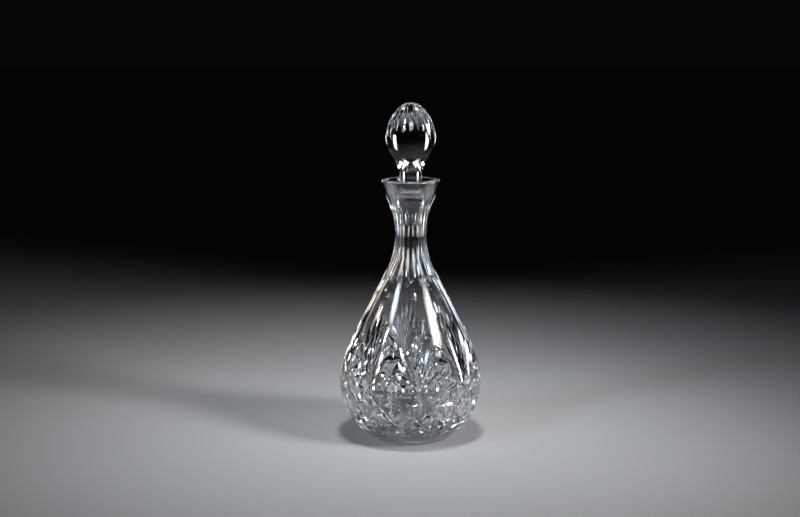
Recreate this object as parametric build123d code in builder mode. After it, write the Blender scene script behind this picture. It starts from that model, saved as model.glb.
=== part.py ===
"""Cut-crystal wine decanter: a blown vessel with a fluted neck, and its solid stopper.

Millimetres, +Z up. The origin is the centre of the base, on the surface the decanter stands on.
Profiles are drawn in the XZ plane as radius and height, and revolved about Z.
"""

import os
from itertools import pairwise
from math import cos, hypot, radians, sin, tan

from build123d import *

# ---- Driving dimensions -------------------------------------------------------------------------

OVERALL_HEIGHT = 310.0  # with the stopper seated
RIM_HEIGHT = 240.0
RIM_RADIUS = 27.5
RIM_WALL = 5.5
RIM_OUTER_ROUND = 1.6
RIM_INNER_ROUND = 1.2

FOOT_RADIUS = 36.5  # the flat, polished ring that touches the table
FOOT_ROUND = 0.6
BELLY_RADIUS = 66.0
BELLY_HEIGHT = 50.0
BELLY_WALL = 5.8  # thick enough for mitre cuts
BASE_THICKNESS = 10.0
CAVITY_BELLY_HEIGHT = 52.0  # height of the cavity's widest circle
FLOOR_EDGE = (40.0, 14.5)  # radius and height where the cavity's floor turns up into its wall
FLOOR_EDGE_LEAN = 62.0

SHOULDER_LOW = (57.0, 87.0)  # radius and height where the belly turns into the shoulder cone
SHOULDER_LOW_LEAN = -23.6  # degrees from vertical, negative towards the axis
SHOULDER_HIGH = (27.0, 147.5)
SHOULDER_HIGH_LEAN = -29.0
SHOULDER_WALL = 4.8

NECK_RADIUS = 14.75
NECK_HEIGHT = 187.0
FUNNEL_FOOT = (16.4, 206.5)  # radius and height where the neck opens into the pouring funnel
FUNNEL_LEAN = 17.0
MOUTH_LEAN = 21.0  # lean of the funnel's inside at the rim

BORE_RADIUS = 8.2
BORE_BOTTOM = 181.0
SEAT_BOTTOM = 198.0
SEAT_TOP = 214.5
SEAT_LEAN = 12.0  # half angle of the ground taper that the stopper rests in

FLUTES = 16
FLUTE_WHEEL_EDGE = 10.0  # radius of the rounded wheel edge that grinds each neck flute
FLUTE_FLOOR_RADIUS = 14.0  # from the axis to a flute's floor, at the narrowest part of the neck
FLUTE_UPPER_BEND = 120.0  # radius of the flute's floor from there up
FLUTE_UPPER_TURN = 9.1  # degrees
FLUTE_TOP_BEND = 30.0  # radius where the floor turns out through the funnel's surface
FLUTE_TOP_TURN = 28.0
FLUTE_LOWER_BEND = 70.2  # radius of the floor from the narrowest part down
FLUTE_LOWER_TURN = 28.5
FLUTE_FOOT_BEND = 24.0  # radius where the floor turns out through the shoulder's surface
FLUTE_FOOT_TURN = 22.0

SEAT_CLEARANCE = 0.15  # radial gap between plug and seat
PLUG_BOTTOM = 199.0
PLUG_TOP = 217.0  # of the plug's ground taper
PLUG_END_CHAMFER = 0.8
PLUG_WIDEST = (13.3, 221.5)  # radius and height of the plug's widest circle, above its ground taper
PLUG_SHOULDER = (11.5, 225.8)  # where it rounds over to the stem
PLUG_SHOULDER_LEAN = -50.0
STEM_RADIUS = 9.75
STEM_BOTTOM = 230.0
STEM_TOP = 240.5
KNOB_ROOT = (10.8, 248.5)  # radius and height where the stem swells into the knob
KNOB_ROOT_LEAN = 21.0
KNOB_RADIUS = 23.0
KNOB_HEIGHT = 278.3  # height of the knob's widest circle

CROWN_CUTS = 15  # broad mitre grooves that run down from the top of the knob
CROWN_CUT_TURN = 2.0  # degrees from +X to the first groove
CROWN_CUT_HALF_ANGLE = 72.0  # each side of the mitre, from its centre plane
CROWN_CUT_REACH = 2.5  # how far the cutter stands out from the groove's floor
CROWN_CUT_TOP = (1.5, 310.3)  # radius and height of the groove's floor, outside the knob
CROWN_CUT_MIDDLE = (19.5, 291.0)  # inside the knob, by the depth of the groove
CROWN_CUT_END = (23.2, 276.0)  # outside again, so that the groove is pointed at both ends

STRAIGHT_UP = 0.0
OUTWARD = 90.0
INWARD = -90.0
HANDLE_SHARE = 1 / 3  # length of a curve's tangent handles, as a share of its chord


# ---- Profile helpers ----------------------------------------------------------------------------


def flowing_line(stations):
    """Draws cubic curves through stations of (radius, height, lean), tangent where they meet."""
    for (r0, z0, lean0), (r1, z1, lean1) in pairwise(stations):
        reach = HANDLE_SHARE * hypot(r1 - r0, z1 - z0)
        leave = (r0 + reach * sin(radians(lean0)), z0 + reach * cos(radians(lean0)))
        arrive = (r1 - reach * sin(radians(lean1)), z1 - reach * cos(radians(lean1)))
        Bezier((r0, z0), leave, arrive, (r1, z1))


def seat_radius(height):
    """Radius of the ground taper in the neck at a height."""
    return BORE_RADIUS + (height - SEAT_BOTTOM) * tan(radians(SEAT_LEAN))


def plug_radius(height):
    """Radius of the stopper's plug, which runs parallel to the seat."""
    return seat_radius(height) - SEAT_CLEARANCE


# ---- Flute cutter -------------------------------------------------------------------------------

# The wheel's rounded edge runs along arcs, each outside the flute's floor by the radius of that edge.
with BuildPart() as flute_cutter:
    narrowest = (FLUTE_FLOOR_RADIUS + FLUTE_WHEEL_EDGE, NECK_HEIGHT)
    with BuildLine(Plane.XZ) as wheel_path:
        lower = JernArc(narrowest, (0, -1), FLUTE_LOWER_BEND - FLUTE_WHEEL_EDGE, FLUTE_LOWER_TURN)
        foot = JernArc(lower @ 1, lower % 1, FLUTE_FOOT_BEND - FLUTE_WHEEL_EDGE, FLUTE_FOOT_TURN)
        upper = JernArc(narrowest, (0, 1), FLUTE_UPPER_BEND - FLUTE_WHEEL_EDGE, -FLUTE_UPPER_TURN)
        JernArc(upper @ 1, upper % 1, FLUTE_TOP_BEND - FLUTE_WHEEL_EDGE, -FLUTE_TOP_TURN)
    with BuildSketch(Plane(foot @ 1, x_dir=(0, 1, 0), z_dir=-(foot % 1))):
        Circle(FLUTE_WHEEL_EDGE)
    sweep(path=wheel_path.wires()[0])

# ---- Vessel -------------------------------------------------------------------------------------

outer_stations = [
    (FOOT_RADIUS, 0.0, 63.0),
    (BELLY_RADIUS, BELLY_HEIGHT, STRAIGHT_UP),
    (*SHOULDER_LOW, SHOULDER_LOW_LEAN),
    (*SHOULDER_HIGH, SHOULDER_HIGH_LEAN),
    (NECK_RADIUS, NECK_HEIGHT, STRAIGHT_UP),
    (*FUNNEL_FOOT, FUNNEL_LEAN),
    (RIM_RADIUS, RIM_HEIGHT, FUNNEL_LEAN),
]

inner_low_radius = SHOULDER_LOW[0] - BELLY_WALL / cos(radians(SHOULDER_LOW_LEAN))
inner_high_radius = SHOULDER_HIGH[0] - SHOULDER_WALL / cos(radians(SHOULDER_HIGH_LEAN))
cavity_stations = [
    (0.0, BASE_THICKNESS, OUTWARD),
    (*FLOOR_EDGE, FLOOR_EDGE_LEAN),
    (BELLY_RADIUS - BELLY_WALL, CAVITY_BELLY_HEIGHT, STRAIGHT_UP),
    (inner_low_radius, SHOULDER_LOW[1], SHOULDER_LOW_LEAN),
    (inner_high_radius, SHOULDER_HIGH[1], SHOULDER_HIGH_LEAN),
    (BORE_RADIUS, BORE_BOTTOM, STRAIGHT_UP),
]
inner_rim_radius = RIM_RADIUS - RIM_WALL
mouth_stations = [
    (seat_radius(SEAT_TOP), SEAT_TOP, SEAT_LEAN),
    (inner_rim_radius, RIM_HEIGHT, MOUTH_LEAN),
]

with BuildPart() as decanter_body:
    with BuildSketch(Plane.XZ):
        with BuildLine():
            Line((0, 0), (FOOT_RADIUS, 0))
            flowing_line(outer_stations)
            Line((RIM_RADIUS, RIM_HEIGHT), (inner_rim_radius, RIM_HEIGHT))
            flowing_line(mouth_stations)
            Line((seat_radius(SEAT_TOP), SEAT_TOP), (BORE_RADIUS, SEAT_BOTTOM))
            Line((BORE_RADIUS, SEAT_BOTTOM), (BORE_RADIUS, BORE_BOTTOM))
            flowing_line(cavity_stations)
            Line((0, BASE_THICKNESS), (0, 0))
        make_face()
    revolve(axis=Axis.Z)

    rings = decanter_body.edges().filter_by(GeomType.CIRCLE).group_by(Axis.Z)
    inner_rim_edge, outer_rim_edge = rings[-1].sort_by(SortBy.RADIUS)
    fillet(outer_rim_edge, radius=RIM_OUTER_ROUND)
    rings = decanter_body.edges().filter_by(GeomType.CIRCLE).group_by(Axis.Z)
    fillet(rings[-1].sort_by(SortBy.RADIUS)[0], radius=RIM_INNER_ROUND)
    fillet(rings[0], radius=FOOT_ROUND)

    with PolarLocations(0, FLUTES):
        add(flute_cutter.part, mode=Mode.SUBTRACT)

decanter_body.part.label = "decanter_body"

# ---- Stopper ------------------------------------------------------------------------------------

shoulder_stations = [
    (plug_radius(PLUG_TOP), PLUG_TOP, SEAT_LEAN),
    (*PLUG_WIDEST, STRAIGHT_UP),
    (*PLUG_SHOULDER, PLUG_SHOULDER_LEAN),
    (STEM_RADIUS, STEM_BOTTOM, STRAIGHT_UP),
]
knob_stations = [
    (STEM_RADIUS, STEM_TOP, STRAIGHT_UP),
    (*KNOB_ROOT, KNOB_ROOT_LEAN),
    (KNOB_RADIUS, KNOB_HEIGHT, STRAIGHT_UP),
    (0.0, OVERALL_HEIGHT, INWARD),
]

with BuildPart() as crown_cutter:
    with BuildLine(Plane.XZ):
        groove_floor = ThreePointArc(CROWN_CUT_TOP, CROWN_CUT_MIDDLE, CROWN_CUT_END)
    with BuildSketch(Plane(groove_floor @ 0, x_dir=(0, 1, 0), z_dir=groove_floor % 0)):
        half_width = CROWN_CUT_REACH * tan(radians(CROWN_CUT_HALF_ANGLE))
        Polygon((0, 0), (half_width, CROWN_CUT_REACH), (-half_width, CROWN_CUT_REACH), align=None)
    sweep(path=groove_floor)

with BuildPart() as stopper:
    with BuildSketch(Plane.XZ):
        with BuildLine():
            Line((0, PLUG_BOTTOM), (plug_radius(PLUG_BOTTOM), PLUG_BOTTOM))
            Line((plug_radius(PLUG_BOTTOM), PLUG_BOTTOM), (plug_radius(PLUG_TOP), PLUG_TOP))
            flowing_line(shoulder_stations)
            Line((STEM_RADIUS, STEM_BOTTOM), (STEM_RADIUS, STEM_TOP))
            flowing_line(knob_stations)
            Line((0, OVERALL_HEIGHT), (0, PLUG_BOTTOM))
        make_face()
    revolve(axis=Axis.Z)
    chamfer(stopper.edges().group_by(Axis.Z)[0], length=PLUG_END_CHAMFER)
    with PolarLocations(0, CROWN_CUTS, start_angle=CROWN_CUT_TURN):
        add(crown_cutter.part, mode=Mode.SUBTRACT)

stopper.part.label = "stopper"

# ---- Files --------------------------------------------------------------------------------------

os.makedirs("parts", exist_ok=True)
for piece in (decanter_body.part, stopper.part):
    export_step(piece, f"parts/{piece.label}.step")
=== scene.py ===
"""Looks of a cut-crystal wine decanter, built around its CAD frame.

Metres and radians, +Z up, in the CAD frame: the origin is the centre of the base. The vessel and the
stopper are rebuilt as closed glass solids with every wheel cut carved into them, and each replaces its
CAD node. Azimuths in degrees run from the front, -Y, towards +X.
"""

from itertools import pairwise
from math import cos, hypot, pi, radians, sin, tan

import bpy
import numpy as np
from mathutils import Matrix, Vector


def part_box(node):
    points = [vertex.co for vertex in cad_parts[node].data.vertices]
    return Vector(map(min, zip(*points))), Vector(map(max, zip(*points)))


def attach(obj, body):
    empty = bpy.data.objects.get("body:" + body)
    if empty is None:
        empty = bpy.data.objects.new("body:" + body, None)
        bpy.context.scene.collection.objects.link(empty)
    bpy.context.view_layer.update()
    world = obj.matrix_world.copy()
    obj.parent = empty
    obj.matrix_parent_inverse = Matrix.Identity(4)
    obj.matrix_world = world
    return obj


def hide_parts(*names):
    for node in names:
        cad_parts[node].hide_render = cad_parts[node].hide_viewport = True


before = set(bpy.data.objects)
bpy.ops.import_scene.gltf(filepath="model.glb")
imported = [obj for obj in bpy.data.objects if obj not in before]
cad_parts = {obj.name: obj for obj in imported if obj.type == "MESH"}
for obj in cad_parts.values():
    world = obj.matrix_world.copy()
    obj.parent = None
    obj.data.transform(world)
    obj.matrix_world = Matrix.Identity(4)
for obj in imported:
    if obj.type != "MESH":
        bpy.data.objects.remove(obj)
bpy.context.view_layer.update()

MM = 0.001
UP = np.array([0.0, 0.0, 1.0])

# ---- Dimensions, in metres ----------------------------------------------------------------------

BASE_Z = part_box("decanter_body")[0][2]
RIM_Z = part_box("decanter_body")[1][2]
BELLY_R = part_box("decanter_body")[1][0]
PLUG_BOTTOM_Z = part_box("stopper")[0][2]
TOP_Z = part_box("stopper")[1][2]

RIM_R = 27.5 * MM
RIM_WALL = 5.5 * MM
RIM_OUTER_ROUND = 1.6 * MM
RIM_INNER_ROUND = 1.2 * MM
FOOT_R = 36.5 * MM
FOOT_LEAN = 63.0
FOOT_ROUND = 0.6 * MM
BELLY_Z = 50 * MM
BELLY_WALL = 5.8 * MM
BASE_THICKNESS = 10 * MM
SHOULDER = (57 * MM, 87 * MM)
SHOULDER_LEAN = -23.6
CONE = (27 * MM, 147.5 * MM)
CONE_LEAN = -29.0
CONE_WALL = 4.8 * MM
NECK = (14.75 * MM, 187 * MM)
FUNNEL_BOTTOM = (16.4 * MM, 206.5 * MM)
CAVITY_EDGE = (40 * MM, 14.5 * MM)
CAVITY_EDGE_LEAN = 62.0
CAVITY_BELLY_Z = 52 * MM
BORE_R = 8.2 * MM
BORE_BOTTOM_Z = 181 * MM
SEAT_BOTTOM_Z = 198 * MM
SEAT_TOP_Z = 214.5 * MM
SEAT_LEAN = 12.0
SEAT_CLEARANCE = 0.15 * MM
FUNNEL_LEAN = 17.0
MOUTH_LEAN = 21.0

PLUG_TOP_Z = 217 * MM
PLUG_CHAMFER = 0.8 * MM
PLUG_WIDEST = (13.3 * MM, 221.5 * MM)
PLUG_SHOULDER = (11.5 * MM, 225.8 * MM)
PLUG_SHOULDER_LEAN = -50.0
STEM_R = 9.75 * MM
STEM_BOTTOM_Z = 230 * MM
STEM_TOP_Z = 240.5 * MM
KNOB_FLARE = (10.8 * MM, 248.5 * MM)
KNOB_FLARE_LEAN = 21.0
KNOB_R = 23 * MM
KNOB_Z = 278.3 * MM


# ---- Profiles: rows of radius, height and the outward normal's radial and vertical parts -----------


def along(stations, steps):
    """Rows along cubic curves through (radius, height, lean in degrees) stations. Glass is on the left."""
    rows = []
    t = np.linspace(0, 1, steps + 1)[:, None]
    for (r0, z0, lean0), (r1, z1, lean1) in pairwise(stations):
        a = np.array([r0, z0])
        d = np.array([r1, z1])
        reach = hypot(r1 - r0, z1 - z0) / 3
        b = a + reach * np.array([sin(radians(lean0)), cos(radians(lean0))])
        c = d - reach * np.array([sin(radians(lean1)), cos(radians(lean1))])
        point = (1 - t) ** 3 * a + 3 * t * (1 - t) ** 2 * b + 3 * t * t * (1 - t) * c + t**3 * d
        slope = (1 - t) ** 2 * (b - a) + 2 * t * (1 - t) * (c - b) + t * t * (d - c)
        normal = np.column_stack([slope[:, 1], -slope[:, 0]])
        normal /= np.linalg.norm(normal, axis=1)[:, None]
        rows.append(np.hstack([point, normal])[1 if rows else 0 :])
    return np.vstack(rows)


def straight(start, end, steps):
    """Rows along a straight line from start to end."""
    t = np.linspace(0, 1, steps + 1)[:, None]
    point = np.array(start) * (1 - t) + np.array(end) * t
    run = np.subtract(end, start) / np.linalg.norm(np.subtract(end, start))
    return np.hstack([point, np.tile([run[1], -run[0]], (steps + 1, 1))])


def rounded(centre, radius, first, last, steps):
    """Rows along an arc about centre, between two directions of its normal in degrees."""
    turn = np.radians(np.linspace(first, last, steps + 1))
    normal = np.column_stack([np.cos(turn), np.sin(turn)])
    return np.hstack([np.array(centre) + radius * normal, normal])


def backwards(rows):
    """The same stretch from its other side and end."""
    return np.hstack([rows[::-1, :2], -rows[::-1, 2:]])


def up_to(rows, height):
    """The rows below a height, and one more exactly at it."""
    last = [np.interp(height, rows[:, 1], column) for column in rows.T]
    return np.vstack([rows[rows[:, 1] < height - 0.1 * MM], last])


def seat_radius(height):
    return BORE_R + (height - SEAT_BOTTOM_Z) * tan(radians(SEAT_LEAN))


OUTER = along(
    [
        (FOOT_R, BASE_Z, FOOT_LEAN),
        (BELLY_R, BELLY_Z, 0.0),
        (*SHOULDER, SHOULDER_LEAN),
        (*CONE, CONE_LEAN),
        (*NECK, 0.0),
        (*FUNNEL_BOTTOM, FUNNEL_LEAN),
        (RIM_R, RIM_Z, FUNNEL_LEAN),
    ],
    steps=20,
)
CAVITY = along(
    [
        (0.0, BASE_THICKNESS, 90.0),
        (*CAVITY_EDGE, CAVITY_EDGE_LEAN),
        (BELLY_R - BELLY_WALL, CAVITY_BELLY_Z, 0.0),
        (SHOULDER[0] - BELLY_WALL / cos(radians(SHOULDER_LEAN)), SHOULDER[1], SHOULDER_LEAN),
        (CONE[0] - CONE_WALL / cos(radians(CONE_LEAN)), CONE[1], CONE_LEAN),
        (BORE_R, BORE_BOTTOM_Z, 0.0),
    ],
    steps=14,
)
KNOB = along(
    [
        (STEM_R, STEM_TOP_Z, 0.0),
        (*KNOB_FLARE, KNOB_FLARE_LEAN),
        (KNOB_R, KNOB_Z, 0.0),
        (0.0, TOP_Z, -90.0),
    ],
    steps=22,
)


def vessel_outline():
    """The vessel's stretches, from the centre of its base round to the centre of its cavity's floor."""
    outer_round_z = RIM_Z - RIM_OUTER_ROUND
    wall = up_to(OUTER, outer_round_z - RIM_OUTER_ROUND * sin(radians(FUNNEL_LEAN)))
    foot_start = np.searchsorted(wall[:, 1], BASE_Z + 1.2 * FOOT_ROUND)
    wall = wall[foot_start:]
    foot_turn = np.degrees(np.arctan2(wall[0, 3], wall[0, 2]))
    foot_centre = (wall[0, 0] - FOOT_ROUND * wall[0, 2], BASE_Z + FOOT_ROUND)
    outer_centre = (wall[-1, 0] - RIM_OUTER_ROUND * cos(radians(FUNNEL_LEAN)), outer_round_z)
    inner_centre = (RIM_R - RIM_WALL + RIM_INNER_ROUND, RIM_Z - RIM_INNER_ROUND)
    mouth_top = rounded(inner_centre, RIM_INNER_ROUND, 90, 180 - MOUTH_LEAN, 5)
    mouth = backwards(
        along(
            [(seat_radius(SEAT_TOP_Z), SEAT_TOP_Z, SEAT_LEAN), (*mouth_top[-1, :2], MOUTH_LEAN)],
            steps=14,
        )
    )
    foot = rounded(foot_centre, FOOT_ROUND, -90, foot_turn, 3)
    wall[0, :2] = foot[-1, :2]
    return [
        (straight((0, BASE_Z), foot[0, :2], 6), False),
        (foot, False),
        (wall, False),
        (rounded(outer_centre, RIM_OUTER_ROUND, -FUNNEL_LEAN, 90, 8), False),
        (straight((outer_centre[0], RIM_Z), (inner_centre[0], RIM_Z), 2), False),
        (mouth_top, False),
        (mouth, False),
        (straight(mouth[-1, :2], (BORE_R, SEAT_BOTTOM_Z), 8), True),
        (straight((BORE_R, SEAT_BOTTOM_Z), (BORE_R, BORE_BOTTOM_Z), 6), False),
        (backwards(CAVITY), False),
    ]


def stopper_outline():
    """The stopper's stretches, from the centre of its plug's end up to its crown."""
    end_r = seat_radius(PLUG_BOTTOM_Z) - SEAT_CLEARANCE
    top_r = seat_radius(PLUG_TOP_Z) - SEAT_CLEARANCE
    chamfer_top = (end_r + PLUG_CHAMFER * tan(radians(SEAT_LEAN)), PLUG_BOTTOM_Z + PLUG_CHAMFER)
    shoulder = along(
        [
            (top_r, PLUG_TOP_Z, SEAT_LEAN),
            (*PLUG_WIDEST, 0.0),
            (*PLUG_SHOULDER, PLUG_SHOULDER_LEAN),
            (STEM_R, STEM_BOTTOM_Z, 0.0),
        ],
        steps=10,
    )
    return [
        (straight((0, PLUG_BOTTOM_Z), (end_r - PLUG_CHAMFER, PLUG_BOTTOM_Z), 3), True),
        (straight((end_r - PLUG_CHAMFER, PLUG_BOTTOM_Z), chamfer_top, 1), True),
        (straight(chamfer_top, (top_r, PLUG_TOP_Z), 12), True),
        (shoulder, False),
        (straight((STEM_R, STEM_BOTTOM_Z), (STEM_R, STEM_TOP_Z), 6), False),
        (KNOB, False),
    ]


# ---- Meshes that carry their own exact normals -----------------------------------------------------


def glass_mesh(name, vertices, faces, normals, ground=None):
    """A mesh whose face corners hold the true normal of the glass, and whether it is ground dull."""
    mesh = bpy.data.meshes.new(name)
    mesh.from_pydata([tuple(v) for v in vertices], [], faces)
    corner_count = len(mesh.loops)
    true_normal = mesh.attributes.new("true_normal", "FLOAT_VECTOR", "CORNER")
    true_normal.data.foreach_set("vector", np.asarray(normals, dtype=np.float32).ravel())
    dull = mesh.attributes.new("ground", "FLOAT", "CORNER")
    values = np.zeros(corner_count) if ground is None else np.asarray(ground, dtype=float)
    dull.data.foreach_set("value", values.astype(np.float32))
    return mesh


def lathe(name, outline, segments):
    """Revolves an outline of stretches about Z. Both its ends are on the axis."""
    turn = np.arange(segments) * 2 * pi / segments
    ring = np.column_stack([np.cos(turn), np.sin(turn)])
    points = [outline[0][0][0]]
    stretches = []
    for rows, dull in outline:
        stretches.append((len(points) - 1, rows, dull))
        points.extend(rows[1:])
    last = len(points) - 1
    vertices = [(0, 0, points[0][1])]
    for row in points[1:-1]:
        vertices.extend(np.column_stack([row[0] * ring, np.full(segments, row[1])]))
    vertices.append((0, 0, points[-1][1]))

    def index(level, segment):
        if level == 0:
            return 0
        if level == last:
            return len(vertices) - 1
        return 1 + (level - 1) * segments + segment % segments

    def normal(row, segment):
        c, s = ring[segment % segments]
        return (row[2] * c, row[2] * s, row[3])

    faces, normals, ground = [], [], []
    for first, rows, dull in stretches:
        for step in range(len(rows) - 1):
            level = first + step
            low, high = rows[step], rows[step + 1]
            for s in range(segments):
                corners = [
                    (level, s, low),
                    (level, s + 1, low),
                    (level + 1, s + 1, high),
                    (level + 1, s, high),
                ]
                if level == 0:
                    corners.pop(1)
                if level + 1 == last:
                    corners.pop(2)
                faces.append([index(lv, sg) for lv, sg, _ in corners])
                normals.extend(normal(row, sg) for _, sg, row in corners)
                ground.extend([float(dull)] * len(corners))
    return glass_mesh(name, vertices, faces, normals, ground)


def combined(name, parts):
    """One mesh of several (vertices, faces, normals) parts that don't touch."""
    vertices, faces, normals = [], [], []
    for part_vertices, part_faces, part_normals in parts:
        start = len(vertices)
        vertices.extend(part_vertices)
        faces.extend([[start + i for i in face] for face in part_faces])
        normals.extend(part_normals)
    return glass_mesh(name, vertices, faces, normals)


def turned(part, angle):
    """A part turned about Z."""
    vertices, faces, normals = part
    c, s = cos(angle), sin(angle)
    matrix = np.array([[c, s, 0], [-s, c, 0], [0, 0, 1]])
    return np.asarray(vertices) @ matrix, faces, np.asarray(normals) @ matrix


# ---- Wheel cuts ------------------------------------------------------------------------------------

CUTTER_REACH = 1.6 * MM
RUN_OUT = 0.12
SETTLING_ROUNDS = 25
SETTLING_SHARE = 0.8


def unit(vectors):
    return vectors / np.linalg.norm(vectors, axis=-1, keepdims=True)


def on_wall(azimuth, height):
    """The point and normal of the outer wall at an azimuth in degrees from the front, and a height."""
    a = radians(azimuth)
    r, _, nr, nz = [np.interp(height, OUTER[:, 1], column) for column in OUTER.T]
    out = np.array([sin(a), -cos(a), 0])
    return r * out + height * UP, unit(nr * out + nz * UP)


def wall_path(start, end, steps):
    """Points and normals on the outer wall, in the plane that cuts it squarely through two points."""
    a, normal_a = on_wall(*start)
    b, normal_b = on_wall(*end)
    lift = unit(normal_a + normal_b)
    t = np.linspace(0, 1, steps + 1)[:, None]
    chord = a * (1 - t) + b * t
    height = np.zeros(steps + 1)
    for _ in range(SETTLING_ROUNDS):
        point = chord + height[:, None] * lift
        radius = np.hypot(point[:, 0], point[:, 1])
        gap = np.interp(point[:, 2], OUTER[:, 1], OUTER[:, 0]) - radius
        height += gap * SETTLING_SHARE
    radial = point[:, :2] / radius[:, None]
    nr = np.interp(point[:, 2], OUTER[:, 1], OUTER[:, 2])
    nz = np.interp(point[:, 2], OUTER[:, 1], OUTER[:, 3])
    return point, unit(np.column_stack([radial * nr[:, None], nz]))


def mitre(path, normals, depths, half_angle):
    """The solid that a V-edged wheel takes out along a path."""
    side = unit(np.cross(np.gradient(path, axis=0), normals))
    floor = path - normals * depths[:, None]
    width = (depths + CUTTER_REACH)[:, None] * tan(radians(half_angle))
    top = path + normals * CUTTER_REACH
    left, right = top - side * width, top + side * width
    along_floor = np.gradient(floor, axis=0)
    left_normal = unit(np.cross(left - floor, along_floor))
    left_normal *= np.sign(np.sum(left_normal * (right - left), axis=1))[:, None]
    right_normal = unit(np.cross(right - floor, along_floor))
    right_normal *= np.sign(np.sum(right_normal * (left - right), axis=1))[:, None]
    count = len(path)
    vertices = np.vstack([floor, left, right])
    faces, face_normals = [], []

    for i in range(count - 1):
        f, l, r = i, count + i, 2 * count + i
        faces.append([f, l, l + 1, f + 1])
        face_normals.extend([left_normal[i], left_normal[i], left_normal[i + 1], left_normal[i + 1]])
        faces.append([f, f + 1, r + 1, r])
        face_normals.extend([right_normal[i], right_normal[i + 1], right_normal[i + 1], right_normal[i]])
        faces.append([l, r, r + 1, l + 1])
        face_normals.extend([normals[i]] * 4)
    for f, order in ((0, (0, 2, 1)), (count - 1, (0, 1, 2))):
        ends = (f, count + f, 2 * count + f)
        faces.append([ends[k] for k in order])
        face_normals.extend([normals[f]] * 3)
    return vertices, faces, face_normals


def leaf_depths(depth, steps, lean=1.0, fullness=1.0):
    """Depths along a leaf-shaped cut, a little above the surface at both ends.

    A lean over 1 moves the widest part on, and a fullness under 1 keeps the cut wide for longer.
    """
    t = np.linspace(0, 1, steps + 1) ** lean
    return depth * ((1 + RUN_OUT) * (4 * t * (1 - t)) ** fullness - RUN_OUT)


def leaf(start, end, depth, half_angle=50, steps=18, lean=1.0, fullness=1.0):
    """A leaf-shaped mitre cut on the outer wall, between two (azimuth in degrees, height) points."""
    path, normals = wall_path(start, end, steps)
    return mitre(path, normals, leaf_depths(depth, steps, lean, fullness), half_angle)


def repeated(part, count, first=0.0):
    """The part at even turns about Z."""
    return [turned(part, first + k * 2 * pi / count) for k in range(count)]


PANELS = 8
PANEL_TURN = radians(6.5)
FOCUS_Z = 59 * MM
HALF_PANEL = 180 / PANELS

# Azimuth in degrees and height in millimetres of the ends of a fan's leaves, on one side.
FAN_TIPS = ((7.5, 119), (14.5, 111), (18, 97), (18.5, 84), (18, 72))
FAN_TOP_Z = 123 * MM
LATTICE_TOP_Z = 57 * MM
LATTICE_END_Z = 10.5 * MM
LATTICE_REACH = 1.75 * HALF_PANEL
CROSS_Z = 43.5 * MM
CROSS_REACH = 9
# Azimuth, height, size, depth and number of rays.
STARS = (
    (HALF_PANEL, 67 * MM, 18 * MM, 1.2 * MM, 4),
    (HALF_PANEL, 92 * MM, 15 * MM, 1.1 * MM, 3),
    (0, 136 * MM, 10 * MM, 0.7 * MM, 3),
)


def belly_cuts():
    """The cuts of one panel of the belly: a fan, horizontal leaves, and a lattice with crossed diamonds."""
    focus = (0, FOCUS_Z - 3 * MM)
    yield leaf(focus, (0, FAN_TOP_Z), 2.2 * MM, half_angle=56, lean=1.5)
    for side in (-1, 1):
        for azimuth, height in FAN_TIPS:
            yield leaf(focus, (side * azimuth, height * MM), 2.1 * MM, half_angle=56, lean=1.5)
        yield leaf(focus, (side * 22, 56 * MM), 2.3 * MM, half_angle=60)
        for start in (0, HALF_PANEL):
            end = (start + side * LATTICE_REACH, LATTICE_END_Z)
            yield leaf((start, LATTICE_TOP_Z), end, 2.3 * MM, half_angle=54, steps=26, fullness=0.5)
        between = side * HALF_PANEL / 2
        yield leaf((between, 41 * MM), (between, 19 * MM), 1.6 * MM, half_angle=52)
    for azimuth in (0, HALF_PANEL):
        left, right = azimuth - CROSS_REACH, azimuth + CROSS_REACH
        yield leaf((azimuth, 55 * MM), (azimuth, 32 * MM), 1.8 * MM, half_angle=52)
        yield leaf((left, CROSS_Z), (right, CROSS_Z), 1.5 * MM, half_angle=52)
        yield leaf((azimuth, 28 * MM), (azimuth, 11 * MM), 1.4 * MM, half_angle=52)


def star(azimuth, height, size, depth, rays):
    """Short mitre cuts that cross at one point of the outer wall."""
    centre, normal = on_wall(azimuth, height)
    across = unit(np.cross(UP, normal))
    rise = np.cross(normal, across)
    for k in range(rays):
        way = cos(k * pi / rays) * rise + sin(k * pi / rays) * across
        ends = []
        for sign in (-1, 1):
            point = centre + sign * size / 2 * way
            ends.append((np.degrees(np.arctan2(point[0], -point[1])), point[2]))
        yield leaf(*ends, depth, half_angle=50, steps=8)


FLUTES = 16
FLUTE_EDGE_R = 10 * MM
FLUTE_FLOOR_R = 14 * MM
# Radius and turn in degrees of the tangent arcs that a flute's floor follows from the neck.
FLUTE_DOWN = ((70.2 * MM, 28.5), (24 * MM, 22.0))
FLUTE_UP = ((120 * MM, 9.1), (30 * MM, 28.0))


def flute_floor(arcs, way, step=2.0):
    """Radius, height and lean in degrees along tangent arcs, from the neck's narrowest part up or down."""
    r, z, lean = FLUTE_FLOOR_R, NECK[1], 0.0
    rows = [(r, z, lean)]
    for bend, turn in arcs:
        centre_r = r + bend * cos(radians(lean))
        centre_z = z - way * bend * sin(radians(lean))
        for k in range(1, round(turn / step) + 1):
            a = radians(lean + k * turn / round(turn / step))
            rows.append((centre_r - bend * cos(a), centre_z + way * bend * sin(a), way * np.degrees(a)))
        r, z, lean = rows[-1][0], rows[-1][1], lean + turn
    return rows


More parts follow.
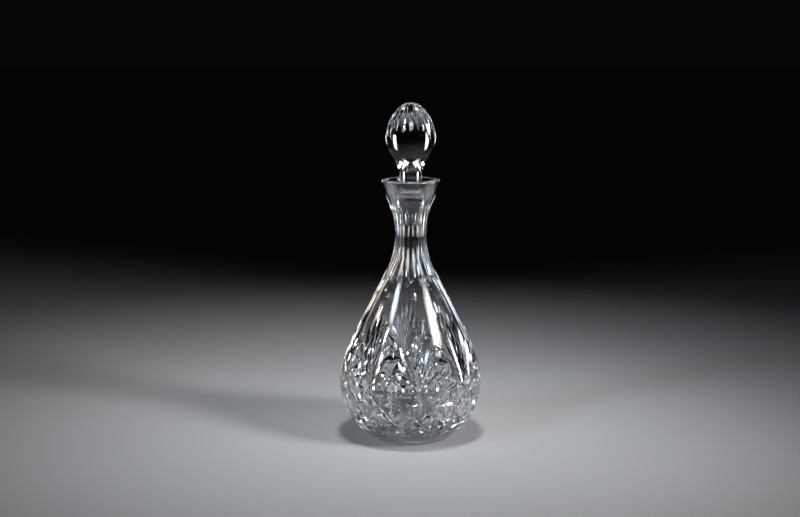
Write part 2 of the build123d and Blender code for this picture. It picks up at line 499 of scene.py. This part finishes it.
def flute(around=72):
    """What a round-edged wheel grinds out along one flute of the neck, facing the front."""
    floor = flute_floor(FLUTE_DOWN, -1)[::-1] + flute_floor(FLUTE_UP, 1)[1:]
    steps = len(floor) - 1
    vertices, outward = [], []
    for r, z, lean in floor:
        spoke = np.array([0, cos(radians(lean)), sin(radians(lean))])
        centre = np.array([0, -r, z]) - FLUTE_EDGE_R * spoke
        for b in np.arange(around) * 2 * pi / around:
            out = cos(b) * spoke + sin(b) * np.array([1.0, 0, 0])
            vertices.append(centre + FLUTE_EDGE_R * out)
            outward.append(out)
    faces = []
    for i in range(steps):
        for j in range(around):
            k = (j + 1) % around
            low, high = i * around, (i + 1) * around
            faces.append([low + j, high + j, high + k, low + k])
    faces.append(list(range(around)))
    faces.append(list(range(steps * around, (steps + 1) * around))[::-1])
    normals = [-np.asarray(outward[i]) for face in faces for i in face]
    return vertices, faces, normals


CROWN_CUTS = 15
CROWN_TURN = radians(-4)
CROWN_HALF_ANGLE = 72
CROWN_TOP_Z = TOP_Z - 0.02 * MM
# Heights along a crown cut and its depths there, in millimetres. A depth below zero is above the surface.
CROWN_HEIGHTS = (275.8, 277, 280, 284, 288, 292, 298, 303, 306, 308.5, 309.98)
CROWN_DEPTHS = (-0.25, 0.02, 0.6, 1.15, 1.45, 1.45, 1.3, 1.05, 0.8, 0.45, -0.2)


def knob_path(first_z, last_z, steps):
    """Points and normals down the knob's side, in front, between two heights."""
    rows = KNOB[::-1]
    length = np.concatenate([[0], np.cumsum(np.hypot(*np.diff(rows[:, :2], axis=0).T))])
    start, stop = (np.interp(-z, -rows[:, 1], length) for z in (first_z, last_z))
    at = start + (stop - start) * np.linspace(0, 1, steps + 1)
    r, z, nr, nz = [np.interp(at, length, column) for column in rows.T]
    zero = np.zeros_like(r)
    return np.column_stack([zero, -r, z]), unit(np.column_stack([zero, -nr, nz]))


def crown_cut(steps=36):
    """A broad mitre from near the knob's top down its side, deepest low down and pointed at its end."""
    path, normals = knob_path(CROWN_TOP_Z, CROWN_HEIGHTS[0] * MM, steps)
    depths = np.interp(path[:, 2] / MM, CROWN_HEIGHTS, CROWN_DEPTHS) * MM
    return mitre(path, normals, depths, CROWN_HALF_ANGLE)


# ---- Carving ---------------------------------------------------------------------------------------


def carve(name, blank, groups):
    """The blank with each group of cutters taken out in turn, with its exact normals set."""
    piece = bpy.data.objects.new(name, blank)
    bpy.context.scene.collection.objects.link(piece)
    cutters = []
    for number, parts in enumerate(groups):
        cutter = bpy.data.objects.new(f"{name}_cutter_{number}", combined(f"{name}_cutter_{number}", parts))
        bpy.context.scene.collection.objects.link(cutter)
        cutters.append(cutter)
        cut = piece.modifiers.new(f"cut_{number}", "BOOLEAN")
        cut.operation = "DIFFERENCE"
        cut.solver = "MANIFOLD"
        cut.object = cutter
    depsgraph = bpy.context.evaluated_depsgraph_get()
    carved = bpy.data.meshes.new_from_object(piece.evaluated_get(depsgraph))
    piece.modifiers.clear()
    piece.data = carved
    carved.name = name
    for cutter in cutters:
        mesh = cutter.data
        bpy.data.objects.remove(cutter)
        bpy.data.meshes.remove(mesh)
    bpy.data.meshes.remove(blank)
    set_exact_normals(carved)
    return piece


def set_exact_normals(mesh):
    """Gives the mesh the normals that its corners carry."""
    values = np.empty(len(mesh.loops) * 3, dtype=np.float32)
    mesh.attributes["true_normal"].data.foreach_get("vector", values)
    normals = unit(values.reshape(-1, 3).astype(float))
    mesh.attributes.remove(mesh.attributes["true_normal"])
    mesh.shade_smooth()
    mesh.normals_split_custom_set(normals.tolist())


def make_vessel():
    cuts = list(belly_cuts())
    for place in STARS:
        cuts.extend(star(*place))
    groups = [repeated(cut, PANELS, PANEL_TURN) for cut in cuts]
    for first in (0, 1):
        groups.append(repeated(flute(), FLUTES // 2, first * 2 * pi / FLUTES))
    return carve("cut_vessel", lathe("vessel_blank", vessel_outline(), 192), groups)


def make_stopper():
    groups = []
    for k in range(CROWN_CUTS):
        groups.append([turned(crown_cut(), CROWN_TURN + k * 2 * pi / CROWN_CUTS)])
    return carve("cut_stopper", lathe("stopper_blank", stopper_outline(), 144), groups)


# ---- Material --------------------------------------------------------------------------------------


def crystal(name):
    """Clear lead crystal: polished, faintly uneven where it was cut, and dull where it is ground to fit."""
    material = bpy.data.materials.new(name)
    material.use_nodes = True
    nodes, links = material.node_tree.nodes, material.node_tree.links
    shader = nodes["Principled BSDF"]
    shader.inputs["Base Color"].default_value = (0.985, 0.992, 1.0, 1)
    shader.inputs["IOR"].default_value = 1.545
    shader.inputs["Transmission Weight"].default_value = 1.0

    place = nodes.new("ShaderNodeTexCoord")
    smears = nodes.new("ShaderNodeTexNoise")
    smears.inputs["Scale"].default_value = 90
    smears.inputs["Detail"].default_value = 3
    links.new(place.outputs["Object"], smears.inputs["Vector"])
    polish = nodes.new("ShaderNodeMapRange")
    polish.inputs["From Min"].default_value = 0.45
    polish.inputs["From Max"].default_value = 0.75
    polish.inputs["To Min"].default_value = 0.0
    polish.inputs["To Max"].default_value = 0.025
    links.new(smears.outputs["Fac"], polish.inputs["Value"])
    ground = nodes.new("ShaderNodeAttribute")
    ground.attribute_name = "ground"
    dull = nodes.new("ShaderNodeMapRange")
    dull.inputs["To Min"].default_value = 0.0
    dull.inputs["To Max"].default_value = 0.02
    links.new(ground.outputs["Fac"], dull.inputs["Value"])
    roughness = nodes.new("ShaderNodeMath")
    roughness.operation = "ADD"
    links.new(polish.outputs["Result"], roughness.inputs[0])
    links.new(dull.outputs["Result"], roughness.inputs[1])
    links.new(roughness.outputs["Value"], shader.inputs["Roughness"])

    ripple = nodes.new("ShaderNodeTexNoise")
    ripple.inputs["Scale"].default_value = 240
    ripple.inputs["Detail"].default_value = 1
    links.new(place.outputs["Object"], ripple.inputs["Vector"])
    bump = nodes.new("ShaderNodeBump")
    bump.inputs["Strength"].default_value = 0.12
    bump.inputs["Distance"].default_value = 0.00005
    links.new(ripple.outputs["Fac"], bump.inputs["Height"])
    links.new(bump.outputs["Normal"], shader.inputs["Normal"])

    tint = nodes.new("ShaderNodeVolumeAbsorption")
    tint.inputs["Color"].default_value = (0.72, 0.86, 0.97, 1)
    tint.inputs["Density"].default_value = 3.0
    links.new(tint.outputs["Volume"], nodes["Material Output"].inputs["Volume"])
    return material


# ---- Floor, light and camera -----------------------------------------------------------------------


def pale_floor():
    bpy.ops.mesh.primitive_plane_add(size=60, location=(0, 0, BASE_Z))
    floor = bpy.context.object
    floor.name = "floor"
    material = bpy.data.materials.new("floor")
    material.use_nodes = True
    shader = material.node_tree.nodes["Principled BSDF"]
    shader.inputs["Base Color"].default_value = (0.62, 0.63, 0.65, 1)
    shader.inputs["Roughness"].default_value = 0.9
    shader.inputs["Specular IOR Level"].default_value = 0.0
    floor.data.materials.append(material)


LIGHT_DISTANCE = 1.25
GLOW_PEAK = 3.5


def softbox(name, azimuth, elevation, size, power, colour=(1, 1, 1), spread=180, on_floor=True):
    """A soft-edged light that faces the decanter from an azimuth and elevation.

    Its glow is GLOW_PEAK (1 - 4x^2)^2 (1 - 4y^2)^2 across its unit square, which averages about 1. One that
    isn't on_floor is seen in the glass but doesn't light the floor.
    """
    a, e = radians(azimuth), radians(elevation)
    middle = np.array([0, 0, RIM_Z / 2])
    lamp = bpy.data.lights.new(name, "AREA")
    lamp.shape = "RECTANGLE"
    lamp.size, lamp.size_y = size
    lamp.energy = power
    lamp.color = colour
    lamp.spread = radians(spread)
    light = bpy.data.objects.new(name, lamp)
    light.location = middle + LIGHT_DISTANCE * np.array([sin(a) * cos(e), -cos(a) * cos(e), sin(e)])
    light.rotation_euler = (pi / 2 - e, 0, a)
    light.visible_diffuse = on_floor
    bpy.context.scene.collection.objects.link(light)

    lamp.use_nodes = True
    nodes, links = lamp.node_tree.nodes, lamp.node_tree.links
    place = nodes.new("ShaderNodeNewGeometry")
    centred = nodes.new("ShaderNodeVectorMath")
    centred.operation = "SUBTRACT"
    centred.inputs[1].default_value = (0.5, 0.5, 0)
    links.new(place.outputs["Parametric"], centred.inputs[0])
    squared = nodes.new("ShaderNodeVectorMath")
    squared.operation = "MULTIPLY"
    links.new(centred.outputs["Vector"], squared.inputs[0])
    links.new(centred.outputs["Vector"], squared.inputs[1])
    parts = nodes.new("ShaderNodeSeparateXYZ")
    links.new(squared.outputs["Vector"], parts.inputs["Vector"])
    fades = []
    for axis in "XY":
        fade = nodes.new("ShaderNodeMath")
        fade.operation = "MULTIPLY_ADD"
        fade.inputs[1].default_value = -4
        fade.inputs[2].default_value = 1
        links.new(parts.outputs[axis], fade.inputs[0])
        fades.append(fade)
    both = nodes.new("ShaderNodeMath")
    both.operation = "MULTIPLY"
    links.new(fades[0].outputs["Value"], both.inputs[0])
    links.new(fades[1].outputs["Value"], both.inputs[1])
    soft = nodes.new("ShaderNodeMath")
    soft.operation = "POWER"
    soft.inputs[1].default_value = 2
    links.new(both.outputs["Value"], soft.inputs[0])
    glow = nodes.new("ShaderNodeMath")
    glow.operation = "MULTIPLY"
    glow.inputs[1].default_value = GLOW_PEAK
    links.new(soft.outputs["Value"], glow.inputs[0])
    links.new(glow.outputs["Value"], nodes["Emission"].inputs["Strength"])


def studio():
    softbox("key_right", 61, 32, (0.5, 0.4), 0.5, spread=40)
    softbox("fill_left", -54, 38, (0.34, 0.26), 0.15, (0.75, 0.88, 1.0), spread=40)
    softbox("back_left", -150, 10, (0.2, 0.9), 1.4, (1.0, 0.86, 0.74), on_floor=False)
    softbox("back_right", 150, 10, (0.2, 0.9), 1.4, (0.74, 0.87, 1.0), on_floor=False)
    softbox("back_high", 180, 52, (0.9, 0.4), 2.5, on_floor=False)
    softbox("side_left", -100, 8, (0.1, 0.8), 1.8, on_floor=False)
    softbox("side_right", 100, 8, (0.1, 0.8), 1.8, on_floor=False)
    softbox("top", 0, 80, (0.3, 0.3), 0.6, spread=55)
    world = bpy.data.worlds.new("studio")
    world.use_nodes = True
    background = world.node_tree.nodes["Background"]
    background.inputs["Color"].default_value = (0.002, 0.002, 0.0022, 1)
    bpy.context.scene.world = world


CAMERA_DISTANCE = 1.154
CAMERA_HEIGHT = 0.3527
CAMERA_PITCH = 9.17
CAMERA_SIDE = -0.0098
LENS = 56.9


def photographer():
    camera = bpy.data.cameras.new("camera")
    camera.lens = LENS
    camera.sensor_width = 36
    thing = bpy.data.objects.new("camera", camera)
    thing.location = (CAMERA_SIDE, -CAMERA_DISTANCE, BASE_Z + CAMERA_HEIGHT)
    thing.rotation_euler = (radians(90 - CAMERA_PITCH), 0, 0)
    bpy.context.scene.collection.objects.link(thing)
    bpy.context.scene.camera = thing


# ---- Scene -----------------------------------------------------------------------------------------

vessel = make_vessel()
stopper = make_stopper()
for piece, node, body, name in (
    (vessel, "decanter_body", "vessel", "vessel_crystal"),
    (stopper, "stopper", "stopper", "stopper_crystal"),
):
    piece.data.materials.clear()
    piece.data.materials.append(crystal(name))
    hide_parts(node)
    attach(piece, body)
    print(piece.name, "triangles", sum(len(p.vertices) - 2 for p in piece.data.polygons))

pale_floor()
studio()
photographer()

bpy.context.scene.view_settings.view_transform = "Standard"
cycles = bpy.context.scene.cycles
cycles.max_bounces = 24
cycles.transmission_bounces = 24
cycles.glossy_bounces = 12
